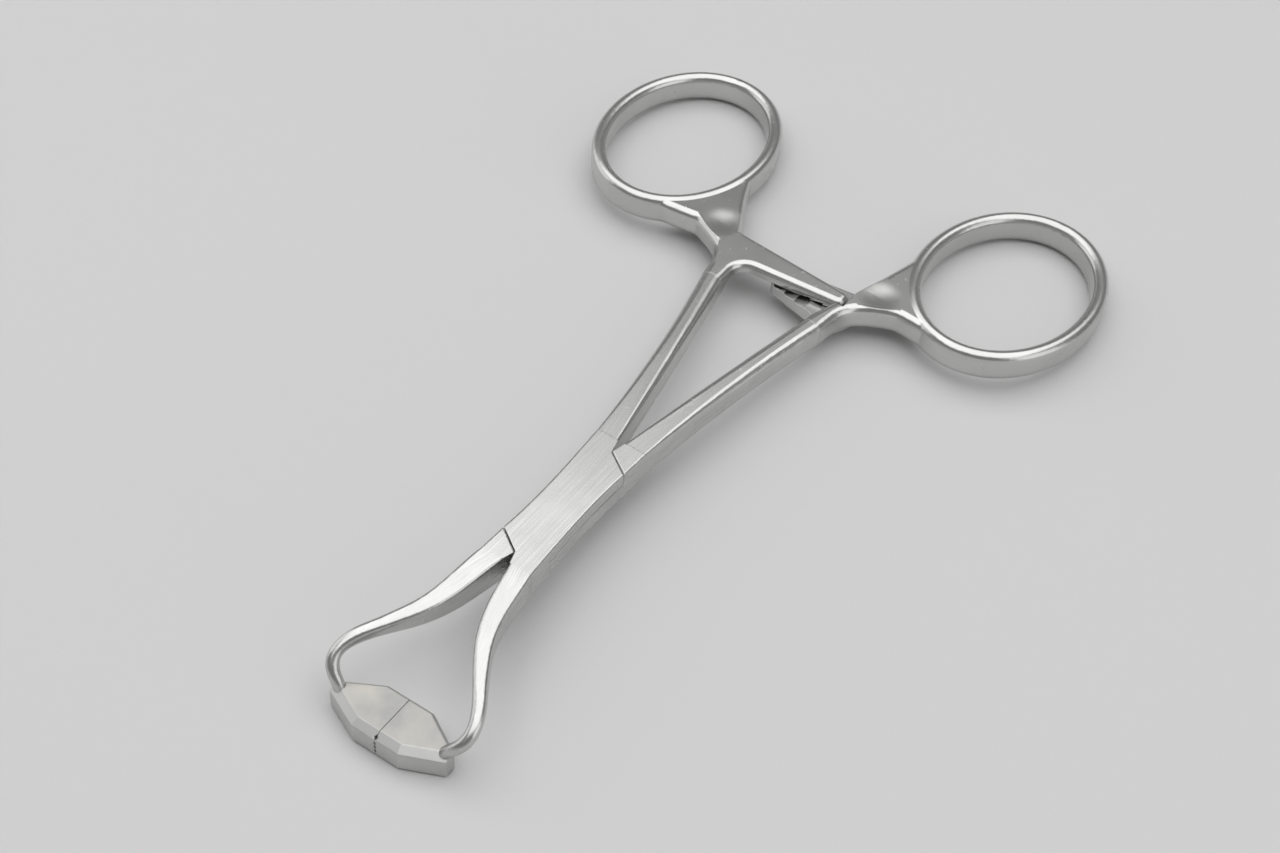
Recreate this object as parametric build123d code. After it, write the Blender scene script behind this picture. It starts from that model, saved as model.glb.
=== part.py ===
from build123d import *
from math import cos, radians, tan
import os

# Ring-handled towel forceps, lying on its side. X runs across it, Y from the jaws to the finger
# rings and Z up. The hinge axis is Z, and the underside of the joint is at Z = 0. Each half is
# drawn at full thickness with its ring on the left and its jaw on the right. The bottom handle
# is then turned over, and both halves are lapped at the joint. All sizes are millimetres.

# Lap joint
joint_thickness = 4.3
lap_height = 2.5
plate_half_width = 3.4
plate_end_half_width = 3.65
crotch_distance = 10.5
shoulder_slope = 34.7
lap_clearance = 0.04
shoulder_clearance = 0.08
plate_edge_round = 0.3
lap_edge_bevel = 0.2
merge_inset = 0.02

# Joint rivet
rivet_radius = 1.6
rivet_length = 3.6
rivet_head_radius = 2.3
rivet_head_depth = 0.7
rivet_clearance = 0.05

# Shanks
shank_start = 12.8
shank_length = 35.2
shank_start_offset = 2.2
shank_end_offset = 8.3
shank_bow = 0.35
shank_root_width = 3.4
shank_waist_width = 2.95
shank_end_width = 3.2
handle_thickness = 4.1
handle_edge_round = 1.15

# Jaw arms
arm_start = 12.4
arm_start_offset = 2.2
arm_root_width = 3.3
arm_waist_offset = 5.1
arm_waist_drop = 0.7
arm_waist_share = 0.53
arm_tip_width = 1.65
arm_tip_round = 0.78
bend_offset = 10.0
bend_setback = 4.6
bend_drop = 3.4

# Pads
pad_front = 38.4
pad_length = 7.0
pad_block_width = 3.5
pad_root_offset = 8.85
pad_root_setback = 2.4
pad_root_width = 1.6
pad_top_drop = 3.3
pad_thickness = 3.45
pad_front_bevel = 1.15
pad_front_bevel_drop = 0.7
pad_back_bevel = 0.4
pad_face_gap = 0.02
groove_count = 4
groove_depth = 0.25

# Finger rings
top_ring_offset = 20.2
bottom_ring_offset = 18.3
ring_rise = 24.6
ring_lean = 3.0
ring_hole_width = 22.8
ring_hole_length = 30.3
ring_wall = 2.25
ring_height = 4.5
ring_edge_round = 1.05

# Neck between shank and ring
neck_waist_out = 3.1
neck_waist_rise = 5.6
neck_shoulder_out = 7.2
neck_shoulder_rise = 8.3
neck_inner_out = 1.4
neck_inner_rise = 9.5
dish_radius = 18.0
dish_depth = 0.4
dish_out = 4.9
dish_rise = 10.6

# Ratchet bars
bar_rise = 5.2
bar_depth = 4.3
bar_front_slope = 3.1
bar_back_slope = 6.0
bar_corner_radius = 2.6
bar_edge_round = 1.0
bar_tip_round = 1.2
top_bar_reach = 9.8
bottom_bar_reach = 1.8
bottom_bar_slope = 15.3
bottom_corner_radius = 0.8
bottom_edge_round = 0.6
bar_gap = 0.1
bar_end_clearance = 0.3
tooth_count = 3
tooth_pitch = 2.0
tooth_height = 0.35
tooth_setback = 0.9

# Worked out from the sizes above
mid_height = joint_thickness / 2
shoulder_distance = crotch_distance * cos(radians(shoulder_slope))
plate_corner = crotch_distance - plate_end_half_width * tan(radians(shoulder_slope))
handle_bottom = mid_height - handle_thickness / 2
handle_top = mid_height + handle_thickness / 2
shank_end = shank_start + shank_length
shank_path = Spline(
    Vector(-shank_start_offset, shank_start, mid_height),
    Vector(
        shank_bow - (shank_start_offset + shank_end_offset) / 2,
        (shank_start + shank_end) / 2,
        mid_height,
    ),
    Vector(-shank_end_offset, shank_end, mid_height),
)
ring_centre_distance = shank_end + ring_rise
ring_tube_width = (ring_hole_width + ring_wall) / 2
ring_tube_length = (ring_hole_length + ring_wall) / 2
bar_front = shank_end + bar_rise
bar_back = bar_front + bar_depth
neck_inner_offset = shank_end_offset + neck_inner_out
neck_inner_distance = shank_end + neck_inner_rise
pad_top = -pad_top_drop
pad_bottom = pad_top - pad_thickness
pad_back = pad_front - pad_length
pad_root_front = pad_front - pad_root_setback
pad_root_back = pad_root_front - pad_root_width
bend_distance = pad_front - bend_setback


def between(first, last, share):
    return first + (last - first) * share


def section(origin, direction, width, height, corner):
    across = Vector(0, 0, 1).cross(Vector(direction.X, direction.Y, 0))
    plane = Plane(origin=origin, x_dir=across, z_dir=direction)
    return plane * RectangleRounded(width, height, corner)


# Middle of one half at full thickness: a slightly waisted plate, cut off at both slanted
# shoulders, that runs into its shank on the left and into its jaw arm on the right.
def joint_block():
    shank_side = shank_start_offset + shank_root_width / 2
    shank_crotch = shank_start_offset - shank_root_width / 2
    arm_side = arm_start_offset + arm_root_width / 2
    arm_crotch = arm_start_offset - arm_root_width / 2
    with BuildPart() as block:
        with BuildSketch():
            with BuildLine():
                shank_edge = Spline(
                    (-shank_side, shank_start),
                    (-plate_end_half_width, plate_corner),
                    (-plate_half_width, 0),
                    (-plate_end_half_width, -plate_corner),
                )
                Line(shank_edge @ 1, (0, -crotch_distance))
                Line((0, -crotch_distance), (arm_crotch, -arm_start))
                Line((arm_crotch, -arm_start), (arm_side, -arm_start))
                arm_edge = Spline(
                    (arm_side, -arm_start),
                    (plate_end_half_width, -plate_corner),
                    (plate_half_width, 0),
                    (plate_end_half_width, plate_corner),
                )
                Line(arm_edge @ 1, (0, crotch_distance))
                Line((0, crotch_distance), (-shank_crotch, shank_start))
                Line((-shank_crotch, shank_start), shank_edge @ 0)
            make_face()
        extrude(amount=joint_thickness)
        rims = block.edges().group_by(Axis.Z)[0] + block.edges().group_by(Axis.Z)[-1]
        fillet(rims.filter_by(GeomType.BSPLINE), plate_edge_round)
    return block.part


# Shank: a slightly bowed, tapering bar whose edges get rounder towards the neck.
def shank():
    root = section(
        shank_path @ 0,
        Vector(0, 1, 0),
        shank_root_width - 2 * merge_inset,
        joint_thickness - 2 * merge_inset,
        plate_edge_round,
    )
    waist = section(
        shank_path @ 0.55,
        shank_path % 0.55,
        shank_waist_width,
        handle_thickness,
        handle_edge_round * 0.8,
    )
    tip = section(
        shank_path @ 1,
        shank_path % 1,
        shank_end_width - 2 * merge_inset,
        handle_thickness - 2 * merge_inset,
        handle_edge_round,
    )
    return loft([root, waist, tip])


def ring_place(centre_offset):
    return Pos(-centre_offset, ring_centre_distance, mid_height) * Rot(0, 0, ring_lean)


# Finger ring: a thin oval band whose rims are rounded right over.
def finger_ring(centre_offset):
    with BuildPart() as band:
        with BuildSketch():
            Ellipse(ring_tube_width + ring_wall / 2, ring_tube_length + ring_wall / 2)
            Ellipse(ring_hole_width / 2, ring_hole_length / 2, mode=Mode.SUBTRACT)
        extrude(amount=ring_height / 2, both=True)
        fillet(band.edges().filter_by(GeomType.ELLIPSE), ring_edge_round)
    return ring_place(centre_offset) * band.part


# Neck: a dished web with an S-shaped outer border that fans out from the shank into the ring.
def neck(centre_offset):
    along = Vector(-(shank_path % 1).X, (shank_path % 1).Y, 0)
    half_width = Vector(along.Y, -along.X, 0) * shank_end_width / 2
    outer = Vector(shank_end_offset, shank_end, 0) + half_width
    inner = Vector(shank_end_offset, shank_end, 0) - half_width
    ring_near = ring_centre_distance - ring_tube_length
    ring_side = centre_offset - ring_tube_width
    with BuildPart() as web:
        with BuildSketch():
            with BuildLine():
                border = Spline(
                    outer,
                    (shank_end_offset + neck_waist_out, shank_end + neck_waist_rise),
                    (shank_end_offset + neck_shoulder_out, shank_end + neck_shoulder_rise),
                    (centre_offset, ring_near),
                    tangents=[along, Vector(1, 0, 0)],
                )
                side = Spline(
                    (ring_side, ring_centre_distance),
                    (neck_inner_offset, neck_inner_distance),
                    inner,
                    tangents=[Vector(-0.25, -1, 0), along * -1],
                )
                Line(border @ 1, (centre_offset, ring_centre_distance))
                Line((centre_offset, ring_centre_distance), side @ 0)
                Line(side @ 1, outer)
            make_face()
        extrude(amount=handle_thickness)
        fillet(web.edges().filter_by(GeomType.BSPLINE), handle_edge_round)
    plate = mirror(Pos(0, 0, handle_bottom) * web.part, Plane.YZ)
    hole = ring_place(centre_offset) * Ellipse(ring_tube_width, ring_tube_length)
    return plate - extrude(hole, amount=joint_thickness, both=True)


# Thumb-like hollow in the web of the neck, the same above and below.
def neck_dishes():
    lift = handle_thickness / 2 + dish_radius - dish_depth
    place = Pos(-shank_end_offset - dish_out, shank_end + dish_rise, mid_height)
    return place * (Pos(0, 0, lift) * Sphere(dish_radius) + Pos(0, 0, -lift) * Sphere(dish_radius))


# Jaw arm: it leaves the joint flat, spreads outwards, thins to a slim rod and bends down and
# inwards to its pad.
def jaw_arm():
    start = Vector(arm_start_offset, -arm_start, mid_height)
    path = Spline(
        start,
        (
            arm_waist_offset,
            -between(arm_start, bend_distance, arm_waist_share),
            mid_height - arm_waist_drop,
        ),
        (bend_offset, -bend_distance, mid_height - bend_drop),
        (
            pad_root_offset - arm_tip_width / 2,
            -(pad_root_front + pad_root_back) / 2,
            pad_top - pad_thickness * 0.3,
        ),
        tangents=[(0.22, -1, -0.02), (-0.3, -0.1, -1)],
    )
    root = section(
        start,
        Vector(0, -1, 0),
        arm_root_width - 2 * merge_inset,
        joint_thickness - 2 * merge_inset,
        plate_edge_round,
    )
    sections = [root]
    for share in (0.06, 0.16, 0.28, 0.4, 0.52, 0.64, 0.75, 0.84, 0.92, 1):
        left = (1 - share) ** 3 * (1 + 3 * share)
        width = between(arm_tip_width, arm_root_width, left)
        height = between(arm_tip_width, joint_thickness, left)
        corner = between(plate_edge_round, arm_tip_round, share**0.5)
        sections.append(section(path @ share, path % share, width, height, corner))
    return loft(sections)


# Pad: half of a spade-shaped block with a bevelled upper rim, a serrated meeting face and a
# pointed shoulder where the arm comes in.
def pad():
    with BuildPart() as block:
        with BuildSketch(Plane.XY.offset(pad_bottom)):
            Polygon(
                (pad_face_gap, -pad_back),
                (pad_block_width, -pad_back),
                (pad_root_offset, -pad_root_back),
                (pad_root_offset, -pad_root_front),
                (pad_block_width, -pad_front),
                (pad_face_gap, -pad_front),
                align=None,
            )
        extrude(amount=pad_thickness)
        top = block.faces().sort_by(Axis.Z)[-1]
        front = top.edges().filter_by(lambda edge: edge.center().Y < -pad_root_front)
        chamfer(front, pad_front_bevel, pad_front_bevel_drop, reference=top)
        top = block.faces().sort_by(Axis.Z)[-1]
        back = top.edges().filter_by(lambda edge: edge.center().Y > -pad_root_back)
        chamfer(back.filter_by(lambda edge: edge.center().X > pad_face_gap * 2), pad_back_bevel)
        pitch = pad_thickness / (groove_count + 0.5)
        with BuildSketch(Plane.XZ.offset(pad_front + 1)):
            for row in range(groove_count):
                height = pad_bottom + pitch * (row + 0.75)
                Polygon(
                    (pad_face_gap - 1, height - groove_depth - 1),
                    (pad_face_gap + groove_depth, height),
                    (pad_face_gap - 1, height + groove_depth + 1),
                    align=None,
                )
        extrude(amount=-(pad_length + 2), mode=Mode.SUBTRACT)
    return block.part


# Ratchet bar: an upper-layer arm from the neck across to the other shank, with saw teeth under
# its free end. Its steep tooth sides face its own neck.
def ratchet_bar(base, reach, front_slope, corner_radius, edge_round):
    root = shank_end_offset - shank_end_width / 2 + merge_inset
    front_tip = bar_front + reach * tan(radians(bar_front_slope))
    front_root = front_tip - (reach + root) * tan(radians(front_slope))
    back_tip = bar_back - reach * tan(radians(bar_back_slope))
    back_root = bar_back + neck_inner_offset * tan(radians(bar_back_slope))
    with BuildPart() as bar:
        with BuildSketch() as outline:
            Polygon(
                (reach, front_tip),
                (-root, front_root),
                (-root, shank_end),
                (-shank_end_offset, shank_end),
                (-shank_end_offset - neck_waist_out, shank_end + neck_waist_rise + 1),
                (-neck_inner_offset - 0.3, back_root),
                (reach, back_tip),
                align=None,
            )
            fillet(outline.vertices().sort_by(Axis.X)[-2:], bar_tip_round)
            inner = Vector(-root, front_root, 0)
            fillet(outline.vertices().sort_by_distance(inner)[0], corner_radius)
        extrude(amount=handle_top - base - bar_gap / 2)
        upper = bar.edges().group_by(Axis.Z)[-1]
        upper = upper.filter_by(lambda edge: edge.center().X > -root + 0.1)
        fillet(upper, edge_round)
        with BuildSketch(Plane.XZ.offset(-bar_back)) as saw:
            for tooth in range(tooth_count):
                outer_end = reach - tooth_setback - tooth * tooth_pitch
                Polygon(
                    (outer_end, 0),
                    (outer_end, tooth_height),
                    (outer_end - tooth_pitch, 0),
                    align=None,
                )
        extrude(saw.sketch, amount=2 * bar_depth, both=True, mode=Mode.SUBTRACT)
    return Pos(0, 0, base + bar_gap / 2) * bar.part


# Seat in the opposite neck where the free end of the top bar comes to lie.
def bar_seat():
    far_side = top_bar_reach + bar_end_clearance
    front = bar_front - bar_end_clearance
    back = bar_back + bar_corner_radius
    with BuildPart() as seat:
        with BuildSketch():
            Polygon(
                (0, front),
                (far_side, front + far_side * tan(radians(bar_front_slope))),
                (far_side, back),
                (0, back),
                align=None,
            )
        extrude(amount=handle_thickness)
    return Pos(0, 0, lap_height - bar_gap / 2) * seat.part


# Room for the other half's plate between the two slanted shoulders, below the lap face.
def lap_room(height):
    span = 2 * (shoulder_distance + shoulder_clearance)
    hanging = (Align.CENTER, Align.CENTER, Align.MAX)
    room = Box(plate_half_width * 6, span, joint_thickness, align=hanging)
    return Pos(0, 0, height + lap_clearance / 2) * Rot(0, 0, shoulder_slope) * room


# Turned over about its length, a half lies in the lower layer with its ring on the right.
def turned_over(solid):
    return Pos(0, 0, joint_thickness) * Rot(0, 180, 0) * solid


# Round pin with a countersunk head at the underside of the joint.
def headed_pin(radius, head_radius, length):
    standing = (Align.CENTER, Align.CENTER, Align.MIN)
    return Cylinder(radius, length, align=standing) + Cone(
        head_radius, radius, rivet_head_depth, align=standing
    )


# Narrow bright bevels on the bottom half, along its lap face and its two raised shoulders.
def bevelled(half):
    lap_level = lap_height - lap_clearance / 2
    sides = half.edges().filter_by(GeomType.BSPLINE)
    sides = sides.filter_by(lambda edge: abs(edge.center().Z - lap_level) < 0.01)
    half = chamfer(sides, lap_edge_bevel)
    ridge = Vector(1, -tan(radians(shoulder_slope)), 0).normalized()
    raised = half.edges().filter_by(GeomType.LINE).filter_by(
        lambda edge: abs(edge.center().Z - joint_thickness) < 0.01
        and edge.tangent_at(0.5).cross(ridge).length < 0.01
    )
    return chamfer(raised, lap_edge_bevel)


# Everything of one handle that lies behind the jaw arm, for a ring at a given offset.
def handle(ring_offset):
    centre_offset = shank_end_offset + ring_offset
    grip = neck(centre_offset) + finger_ring(centre_offset) - neck_dishes()
    return joint_block() + shank() + grip


# Jaw arms and pads hang below the joint on both halves, so only the handles are turned over.
jaw = jaw_arm() + pad()
joint_rivet = headed_pin(rivet_radius, rivet_head_radius, rivet_length)
rivet_room = headed_pin(
    rivet_radius + rivet_clearance, rivet_head_radius + rivet_clearance, rivet_length
)

top_bar = ratchet_bar(
    lap_height, top_bar_reach, bar_front_slope, bar_corner_radius, bar_edge_round
)
top_half = handle(top_ring_offset) + top_bar + jaw - lap_room(lap_height) - joint_rivet

turned_lap = joint_thickness - lap_height
bottom_bar = ratchet_bar(
    turned_lap, bottom_bar_reach, bottom_bar_slope, bottom_corner_radius, bottom_edge_round
)
bottom_half = bevelled(turned_over(handle(bottom_ring_offset) - lap_room(turned_lap)))
bottom_half = bottom_half - bar_seat() + turned_over(bottom_bar)
bottom_half = bottom_half + mirror(jaw, Plane.YZ) - rivet_room

os.makedirs("parts", exist_ok=True)
export_step(top_half, "parts/top_half.step")
export_step(bottom_half, "parts/bottom_half.step")
export_step(joint_rivet, "parts/joint_rivet.step")
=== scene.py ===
import math
import bpy
import bmesh
from mathutils import Matrix, Vector

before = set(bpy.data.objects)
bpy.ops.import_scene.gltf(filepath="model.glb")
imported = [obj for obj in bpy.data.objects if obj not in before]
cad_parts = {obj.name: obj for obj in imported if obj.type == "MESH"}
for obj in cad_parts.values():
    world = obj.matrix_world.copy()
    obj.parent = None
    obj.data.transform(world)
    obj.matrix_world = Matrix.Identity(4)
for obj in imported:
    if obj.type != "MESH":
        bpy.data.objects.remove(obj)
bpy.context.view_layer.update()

scene = bpy.context.scene
scene.view_settings.view_transform = "Standard"


# Socket arithmetic, so that a pattern reads as one expression.
class Wire:
    def __init__(self, shader, socket):
        self.shader = shader
        self.socket = socket

    def math(self, operation, other=0.0, swapped=False):
        first, second = (other, self) if swapped else (self, other)
        return self.shader.node("ShaderNodeMath", {"operation": operation}, {0: first, 1: second})

    def __add__(self, other):
        return self.math("ADD", other)

    def __radd__(self, other):
        return self.math("ADD", other, True)

    def __sub__(self, other):
        return self.math("SUBTRACT", other)

    def __rsub__(self, other):
        return self.math("SUBTRACT", other, True)

    def __mul__(self, other):
        return self.math("MULTIPLY", other)

    def __rmul__(self, other):
        return self.math("MULTIPLY", other, True)

    def __pow__(self, other):
        return self.math("POWER", other)

    def __rpow__(self, other):
        return self.math("POWER", other, True)


# The nodes of one material, or of the room around the object.
class Shader:
    def __init__(self, owner):
        owner.use_nodes = True
        self.owner = owner
        self.tree = owner.node_tree
        self.surface = self.find("BSDF_PRINCIPLED", "BACKGROUND")
        self.output = self.find("OUTPUT_MATERIAL", "OUTPUT_WORLD")

    def find(self, *kinds):
        return next(n for n in self.tree.nodes if n.type in kinds)

    def node(self, kind, settings=None, values=None, output=0):
        made = self.tree.nodes.new(kind)
        for name, value in (settings or {}).items():
            if name == "stops":
                self.setStops(made.color_ramp, value)
            else:
                setattr(made, name, value)
        for socket, value in (values or {}).items():
            self.feed(made.inputs[socket], value)
        return Wire(self, made.outputs[output])

    def setStops(self, ramp, stops):
        while len(ramp.elements) < len(stops):
            ramp.elements.new(0.5)
        for element, (position, shade) in zip(ramp.elements, stops):
            element.position = position
            element.color = (shade, shade, shade, 1)

    def feed(self, socket, value):
        if isinstance(value, Wire):
            self.tree.links.new(value.socket, socket)
        else:
            socket.default_value = value

    def separate(self, vector):
        made = self.node("ShaderNodeSeparateXYZ", {}, {0: vector}).socket.node
        return [Wire(self, socket) for socket in made.outputs]

    def stretch(self, place, scale):
        return self.node("ShaderNodeMapping", {}, {"Vector": place, "Scale": scale})

    def noise(self, place, scale, detail):
        values = {"Vector": place, "Scale": scale, "Detail": detail}
        return self.node("ShaderNodeTexNoise", {}, values)

    def cut(self, value, stops):
        return self.node("ShaderNodeValToRGB", {"stops": stops}, {"Fac": value})

    def bump(self, height, depth, strength, normal):
        values = {"Height": height, "Distance": depth, "Strength": strength, "Normal": normal}
        return self.node("ShaderNodeBump", {}, values)

    def mix(self, factor, first, second):
        sockets = {0: factor, 6: first, 7: second}
        sockets = {k: (*v, 1) if isinstance(v, tuple) else v for k, v in sockets.items()}
        return self.node("ShaderNodeMix", {"data_type": "RGBA"}, sockets, output=2)

    def ramp(self, value, first, last):
        limits = {"Value": value, "From Min": first, "From Max": last}
        return self.node("ShaderNodeMapRange", {"interpolation_type": "SMOOTHSTEP"}, limits)

    def finish(self, **values):
        for name, value in values.items():
            self.feed(self.surface.inputs[name.replace("_", " ")], value)
        return self.owner


# Satin steel: fine brush lines follow each half's shank and jaw arm, with soft clouds, thin
# scratches and light scuffs. The rings are smoother, and the pads have a bead-blast finish;
# on their upward faces only, a warmer, darker tone is a painted reflection.
steel = {
    "colour": (0.59, 0.59, 0.582),
    "lineColour": (0.45, 0.45, 0.445),
    "scuffColour": (0.7, 0.7, 0.69),
    "padReflectionColour": (0.47, 0.455, 0.415),
    "padReflectionCloud": (0.35, 0.348, 0.34),
    "roughness": 0.25,
    "padRoughness": 0.36,
    "lineScale": (6200, 90, 2600),  # per metre across, along and up the shank
    "lineDetail": 2.0,
    "lineTone": 1.4,
    "lineGloss": 0.16,
    "lineDepth": 0.0000009,
    "lineStrength": 0.6,
    "scratchScale": (2600, 60, 1200),
    "scratchDetail": 1.0,
    "scratchStops": [(0.66, 0), (0.72, 1)],
    "scratchTone": 0.5,
    "scratchHeight": 0.6,  # beside the brush lines
    "cloudScale": 150.0,
    "cloudDetail": 5.0,
    "cloudStops": [(0.35, 0), (0.65, 1)],
    "cloudTone": 0.3,
    "cloudGloss": 0.04,
    "scuffScale": 900.0,
    "scuffDetail": 2.0,
    "scuffStops": [(0.68, 0), (0.74, 1)],
    "scuffTone": 0.4,
    "scuffGloss": 0.06,
    "grainScale": 5200.0,
    "grainDetail": 2.0,
    "grainDepth": 0.000012,
    "grainStrength": 0.5,
    "shankStart": 0.0128,  # past its start a shank leans aside by its spread times the length
    "shankSpread": 0.173,
    "armStart": 0.0124,
    "armSpread": 0.27,
    "ringFade": (0.032, 0.052),  # along the instrument
    "ringSmooth": 0.92,
    "armFade": (-0.013, -0.019),
    "armSmooth": 0.7,
    "padFade": (-0.0026, -0.0034),  # downwards
    "padReflectionFacing": (0.85, 0.95),  # how far up a pad face must look to take the painted reflection tone
    "edgeRadius": 0.00018,
    "edgeSamples": 6,
    "midHeight": 0.00215,  # between the upper side and the underside
    "dishCentre": (0.0132, 0.0586),
    "dishRadius": 0.0038,
    "dishCore": 0.25,  # the share of the radius that keeps its own normal
    "dishReach": 1.03,  # and the share past which nothing is changed
    "dishFacing": 0.95,
}


# Rounds worn edges and lets the hollow in each neck run out softly at its rim.
def softNormal(shader, look, x, y, z):
    worn = {"Radius": look["edgeRadius"]}
    rounded = shader.node("ShaderNodeBevel", {"samples": look["edgeSamples"]}, worn)
    outward = x.math("ABSOLUTE") - look["dishCentre"][0]
    along = y - look["dishCentre"][1]
    reach = (outward * outward + along * along) ** 0.5
    rim = shader.ramp(reach, look["dishRadius"] * look["dishCore"], look["dishRadius"])
    facing = shader.separate(rounded)[2].math("ABSOLUTE")
    level = facing.math("GREATER_THAN", look["dishFacing"])
    inside = reach.math("LESS_THAN", look["dishRadius"] * look["dishReach"])
    upward = (z - look["midHeight"]).math("SIGN")
    flat = shader.node("ShaderNodeCombineXYZ", {}, {2: upward})
    parts = {0: rim * inside * level, 4: rounded, 5: flat}
    blended = shader.node("ShaderNodeMix", {"data_type": "VECTOR"}, parts, output=1)
    return shader.node("ShaderNodeVectorMath", {"operation": "NORMALIZE"}, {0: blended})


def satinSteel(name, look, side):
    shader = Shader(bpy.data.materials.new(name))
    place = shader.node("ShaderNodeTexCoord", output=3)
    x, y, z = shader.separate(place)
    shankLean = (y - look["shankStart"]).math("MAXIMUM", 0.0) * look["shankSpread"]
    armLean = (-1 * y - look["armStart"]).math("MAXIMUM", 0.0) * look["armSpread"]
    across = x - side * (shankLean - armLean)
    combed = shader.node("ShaderNodeCombineXYZ", {}, {0: across, 1: y, 2: z})

    # The patterns
    lines = shader.noise(shader.stretch(combed, look["lineScale"]), 1.0, look["lineDetail"])
    thin = shader.stretch(combed, look["scratchScale"])
    streaks = shader.noise(thin, 1.0, look["scratchDetail"])
    scratches = shader.cut(streaks, look["scratchStops"])
    clouds = shader.noise(place, look["cloudScale"], look["cloudDetail"])
    haze = shader.cut(clouds, look["cloudStops"])
    specks = shader.noise(place, look["scuffScale"], look["scuffDetail"])
    scuffs = shader.cut(specks, look["scuffStops"])
    grain = shader.noise(place, look["grainScale"], look["grainDetail"])

    # Where they lie
    onRings = shader.ramp(y, *look["ringFade"])
    onArms = shader.ramp(y, *look["armFade"])
    onPads = shader.ramp(z, *look["padFade"])
    smoothed = (1 - onRings * look["ringSmooth"]) * (1 - onArms * look["armSmooth"])
    combing = smoothed * (1 - onPads)
    faceNormal = shader.node("ShaderNodeNewGeometry", output=1)
    # Mask for the painted reflection: one on the pads' upward faces, zero on their sides.
    upFacingReflectionMask = shader.ramp(shader.separate(faceNormal)[2], *look["padReflectionFacing"])

    # Colour, relief and gloss
    wear = (lines - 0.5) * look["lineTone"] * combing + haze * look["cloudTone"]
    marks = scratches * combing * look["scratchTone"] + scuffs * look["scuffTone"]
    tone = shader.mix(wear, look["colour"], look["lineColour"])
    tone = shader.mix(marks, tone, look["scuffColour"])
    # Painted reflection: a warmer, darker tone with soft clouds, only on the pads' upward faces.
    padReflectionTone = shader.mix(haze, look["padReflectionColour"], look["padReflectionCloud"])
    tone = shader.mix(onPads * upFacingReflectionMask, tone, padReflectionTone)
    height = lines * combing + scratches * combing * look["scratchHeight"]
    soft = softNormal(shader, look, x, y, z)
    brushed = shader.bump(height, look["lineDepth"], look["lineStrength"], soft)
    relief = shader.bump(grain * onPads, look["grainDepth"], look["grainStrength"], brushed)
    gloss = (lines - 0.5) * look["lineGloss"] * combing + (haze - 0.5) * look["cloudGloss"]
    satin = look["roughness"] + gloss + scuffs * look["scuffGloss"]
    rough = satin + onPads * (look["padRoughness"] - look["roughness"])
    return shader.finish(Base_Color=tone, Metallic=1.0, Roughness=rough, Normal=relief)


# The brush lines lean with the shank: -1 for the left ring's half, 1 for the right ring's half
# and for the rivet, which lies where neither leans.
finishes = {"top_half": -1.0, "bottom_half": 1.0, "joint_rivet": 1.0}
for nodeName, side in finishes.items():
    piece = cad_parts[nodeName]
    piece.data.materials.clear()
    piece.data.materials.append(satinSteel(nodeName + "Steel", steel, side))
print("steel halves and rivet finished")


# Table: it touches the back edge of the pads and the far ends of the finger rings, so it lies
# about three degrees off the plane of the joint.
table = {
    "padEdge": (-0.0315, -0.00675),
    "ringEnd": (0.0882, -0.00025),
    "gap": 0.00002,  # between the table and what rests on it
    "halfSize": 3.0,
    "colour": (0.64, 0.64, 0.64),
    "fade": (0.15, 0.55),  # how far out it turns to the pale tone
    "roughness": 0.6,
}
paleTone = (0.6, 0.6, 0.6)


# One for what the camera sees, itself or in metal or glass, and zero for light on the object.
def seenRays(shader):
    names = ("Is Camera Ray", "Is Glossy Ray", "Is Transmission Ray")
    camera, glossy, through = (shader.node("ShaderNodeLightPath", output=name) for name in names)
    return camera.math("MAXIMUM", glossy).math("MAXIMUM", through)


# Shows a plain pale tone where the table and the room run out of sight.
def fadeToPale(shader, kind, where):
    plain = Wire(shader, shader.surface.outputs[0])
    pale = shader.node(kind, {}, {"Color": (*paleTone, 1)})
    parts = {0: where * seenRays(shader), 1: plain, 2: pale}
    shader.feed(shader.output.inputs["Surface"], shader.node("ShaderNodeMixShader", {}, parts))


def tablePlane(values):
    (nearY, nearZ), (farY, farZ) = values["padEdge"], values["ringEnd"]
    slope = math.atan2(farZ - nearZ, farY - nearY)
    turn = Matrix.Rotation(slope, 4, "X")
    middle = Vector((0, nearY, nearZ - values["gap"]))
    mesh = bmesh.new()
    bmesh.ops.create_grid(mesh, x_segments=1, y_segments=1, size=values["halfSize"])
    bmesh.ops.transform(mesh, matrix=Matrix.Translation(middle) @ turn, verts=mesh.verts)
    data = bpy.data.meshes.new("table")
    mesh.to_mesh(data)
    mesh.free()
    floor = bpy.data.objects.new("table", data)
    scene.collection.objects.link(floor)
    shader = Shader(bpy.data.materials.new("paleTable"))
    shader.finish(Base_Color=(*values["colour"], 1), Roughness=values["roughness"])
    place = shader.node("ShaderNodeTexCoord", output=3)
    away = shader.node("ShaderNodeVectorMath", {"operation": "LENGTH"}, {0: place}, output=1)
    fadeToPale(shader, "ShaderNodeEmission", shader.ramp(away, *values["fade"]))
    data.materials.append(shader.owner)


tablePlane(table)
print("table laid")


# Camera: solved from the mirror symmetry of the two halves in the photograph.
view = {
    "azimuth": 30.554,
    "elevation": 46.124,
    "roll": 4.803,
    "focalPixels": 2023.0,
    "distance": 0.26273,
    "aim": (0.0, 0.0048, 0.0),
    "aimPixel": (585.005, 500.038),
    "imageSize": (1280, 853),
    "sensorWidth": 36.0,
    "clipStart": 0.01,
}


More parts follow.
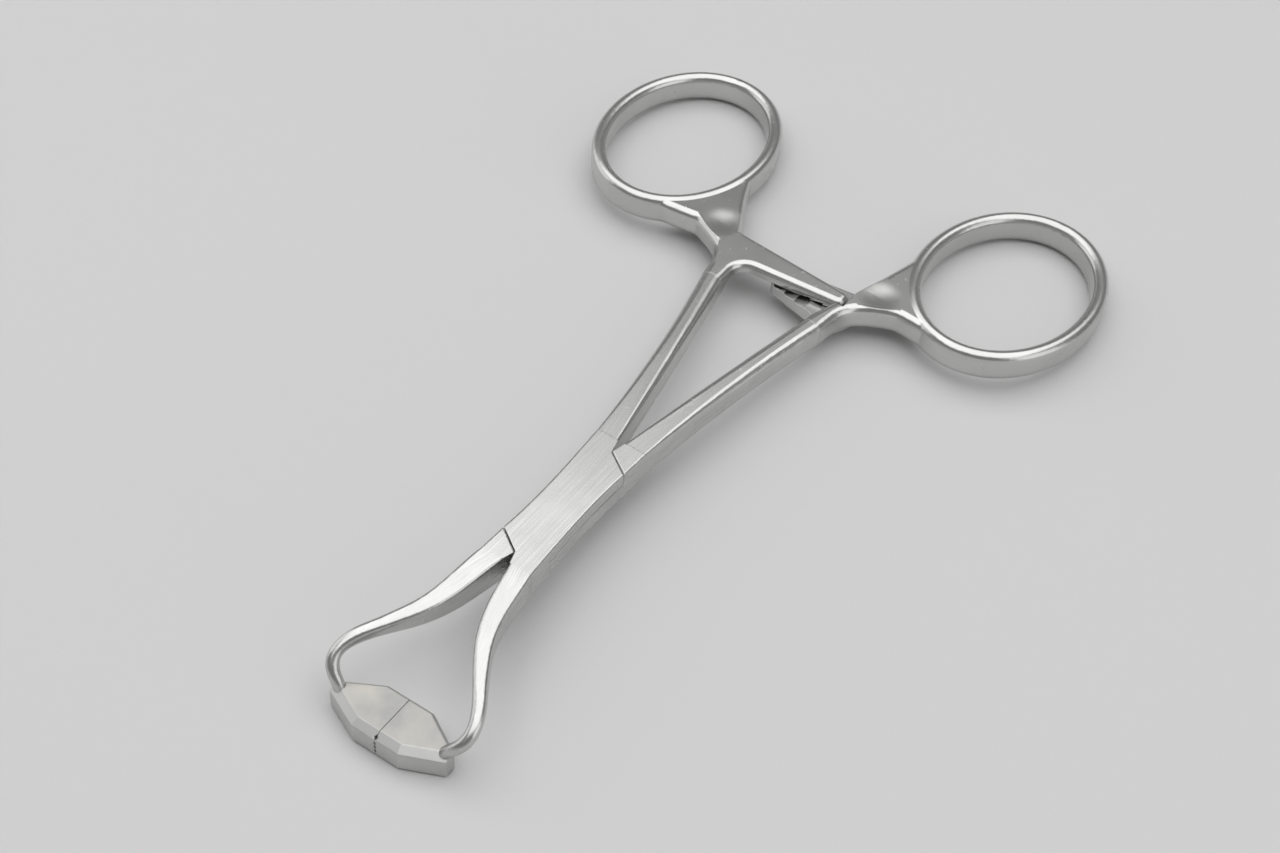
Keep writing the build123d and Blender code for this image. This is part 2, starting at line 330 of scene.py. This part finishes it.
def placeCamera(values):
    around, lift, roll = (math.radians(values[key]) for key in ("azimuth", "elevation", "roll"))
    level = Vector((math.cos(around), math.sin(around), 0))
    outward = Vector((math.sin(around), -math.cos(around), 0))
    back = outward * math.cos(lift) + Vector((0, 0, math.sin(lift)))
    upright = back.cross(level)
    right = level * math.cos(roll) + upright * math.sin(roll)
    up = upright * math.cos(roll) - level * math.sin(roll)
    width, height = values["imageSize"]
    scale = values["distance"] / values["focalPixels"]
    across = (values["aimPixel"][0] - width / 2) * scale
    rise = -(values["aimPixel"][1] - height / 2) * scale
    centre = Vector(values["aim"]) + back * values["distance"] - right * across - up * rise
    lens = bpy.data.cameras.new("camera")
    lens.sensor_width = values["sensorWidth"]
    lens.lens = values["focalPixels"] / width * values["sensorWidth"]
    lens.clip_start = values["clipStart"]
    camera = bpy.data.objects.new("camera", lens)
    axes = Matrix((right, up, back)).transposed().to_4x4()
    camera.matrix_world = Matrix.Translation(centre) @ axes
    scene.collection.objects.link(camera)
    scene.camera = camera


placeCamera(view)
print("camera placed")


# Lights: a broad soft panel overhead and a smaller one on each side, in an even grey room.
lamps = [
    {"name": "overhead", "at": (-0.05, 0.088, 0.891), "size": 1.37, "power": 8.4},
    {"name": "right", "at": (0.82, 0.02, 0.38), "size": 0.7, "power": 1.4},
    {"name": "left", "at": (-0.8, -0.06, 0.4), "size": 0.75, "power": 1.5},
]
roomLook = {
    "shade": (0.24, 0.24, 0.24),
    "backdropTop": 0.3,  # height over the horizon at which the pale tone ends
}


def softPanel(values):
    data = bpy.data.lights.new(values["name"], "AREA")
    data.shape = "SQUARE"
    data.size = values["size"]
    data.energy = values["power"]
    lamp = bpy.data.objects.new(values["name"], data)
    lamp.location = values["at"]
    lamp.rotation_euler = (-Vector(values["at"])).to_track_quat("-Z", "Y").to_euler()
    scene.collection.objects.link(lamp)


def plainRoom(values):
    scene.world = bpy.data.worlds.new("room")
    room = Shader(scene.world)
    room.finish(Color=(*values["shade"], 1))
    direction = room.node("ShaderNodeTexCoord", output=0)
    height = room.separate(direction)[2]
    fadeToPale(room, "ShaderNodeBackground", room.ramp(height, values["backdropTop"], 0.0))


for lampValues in lamps:
    softPanel(lampValues)
plainRoom(roomLook)
print("lights set")
